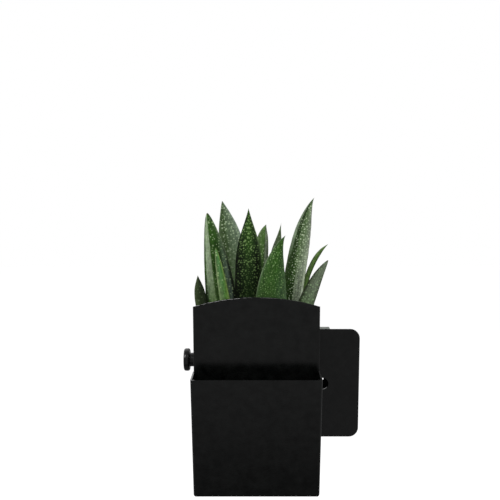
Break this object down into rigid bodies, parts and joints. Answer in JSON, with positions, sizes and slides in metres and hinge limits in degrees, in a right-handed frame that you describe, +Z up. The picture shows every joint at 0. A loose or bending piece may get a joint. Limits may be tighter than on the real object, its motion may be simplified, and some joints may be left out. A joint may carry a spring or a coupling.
{
  "type": "wall planter",
  "caption": "Black sheet-steel wall planter with an arched front and a wedge pocket, hooked on an offset wall plate, locked by a side knob, holding a potted succulent.",
  "frame": {"origin": "on the wall, midway between the bracket's two wall-screw holes", "axes": "+X to the planter's right as seen from the room, +Y into the wall, +Z up"},
  "size_m": [0.1589, 0.137, 0.2338],
  "materials": {
    "black_coat": "satin black powder coat",
    "black_rivet": "satin black",
    "zinc_steel": "pale zinc plate",
    "black_rubber": "matte",
    "white_nylon": "natural nylon",
    "black_knob": "glossy black",
    "black_plastic": "matte black moulded plastic",
    "soil": "potting soil",
    "grit": "fine grit",
    "leaf_green": "waxy speckled leaf"
  },
  "bodies": {
    "wall_mount": {"wall_bracket": "zinc_steel", "wall_plate": "black_coat", "plate_rivets": "black_rivet"},
    "planter": {"box_shell": "black_coat", "back_panel": "black_coat", "hang_hooks": "zinc_steel", "rear_pads": "black_rubber", "front_pocket": "black_coat", "pocket_rivets": "black_rivet", "rivet_nut": "zinc_steel"},
    "tray": {"drip_tray": "black_plastic"},
    "pot": {"nursery_pot": "black_plastic", "potting_soil": "soil", "top_grit": "grit", "plant_crown_left": "leaf_green", "plant_crown_right": "leaf_green", "leaf_01": "leaf_green", "leaf_02": "leaf_green", "leaf_03": "leaf_green", "leaf_04": "leaf_green", "leaf_05": "leaf_green", "leaf_06": "leaf_green", "leaf_07": "leaf_green", "leaf_08": "leaf_green", "leaf_09": "leaf_green", "leaf_10": "leaf_green", "leaf_11": "leaf_green"},
    "lock_foot": {"pressure_pad": "white_nylon"},
    "lock_screw": {"lock_knob": "black_knob", "knob_stud": "zinc_steel"}
  },
  "joints": [
    {"name": "planter_lift_off", "type": "slide", "parent": "wall_mount", "child": "planter", "axis": [0, 0, 1], "range_m": [0, 0.0081]},
    {"name": "tray_lift_out", "type": "slide", "parent": "planter", "child": "tray", "axis": [0, 0, 1], "range_m": [0, 0.12]},
    {"name": "pot_lift_out", "type": "slide", "parent": "tray", "child": "pot", "axis": [0, 0, 1], "range_m": [0, 0.12]},
    {"name": "lock_foot_travel", "type": "slide", "parent": "planter", "child": "lock_foot", "axis": [-1, 0, 0], "range_m": [0, 0.0024]},
    {"name": "lock_knob_turn", "type": "hinge", "parent": "lock_foot", "child": "lock_screw", "pos_m": [-0.09, -0.0115, 0.02], "axis": [-1, 0, 0], "range_deg": [0, 1080]}
  ],
  "couplings": [
    {"joint": "lock_knob_turn", "follows": "lock_foot_travel", "rad_per_m": 7853.9}
  ]
}
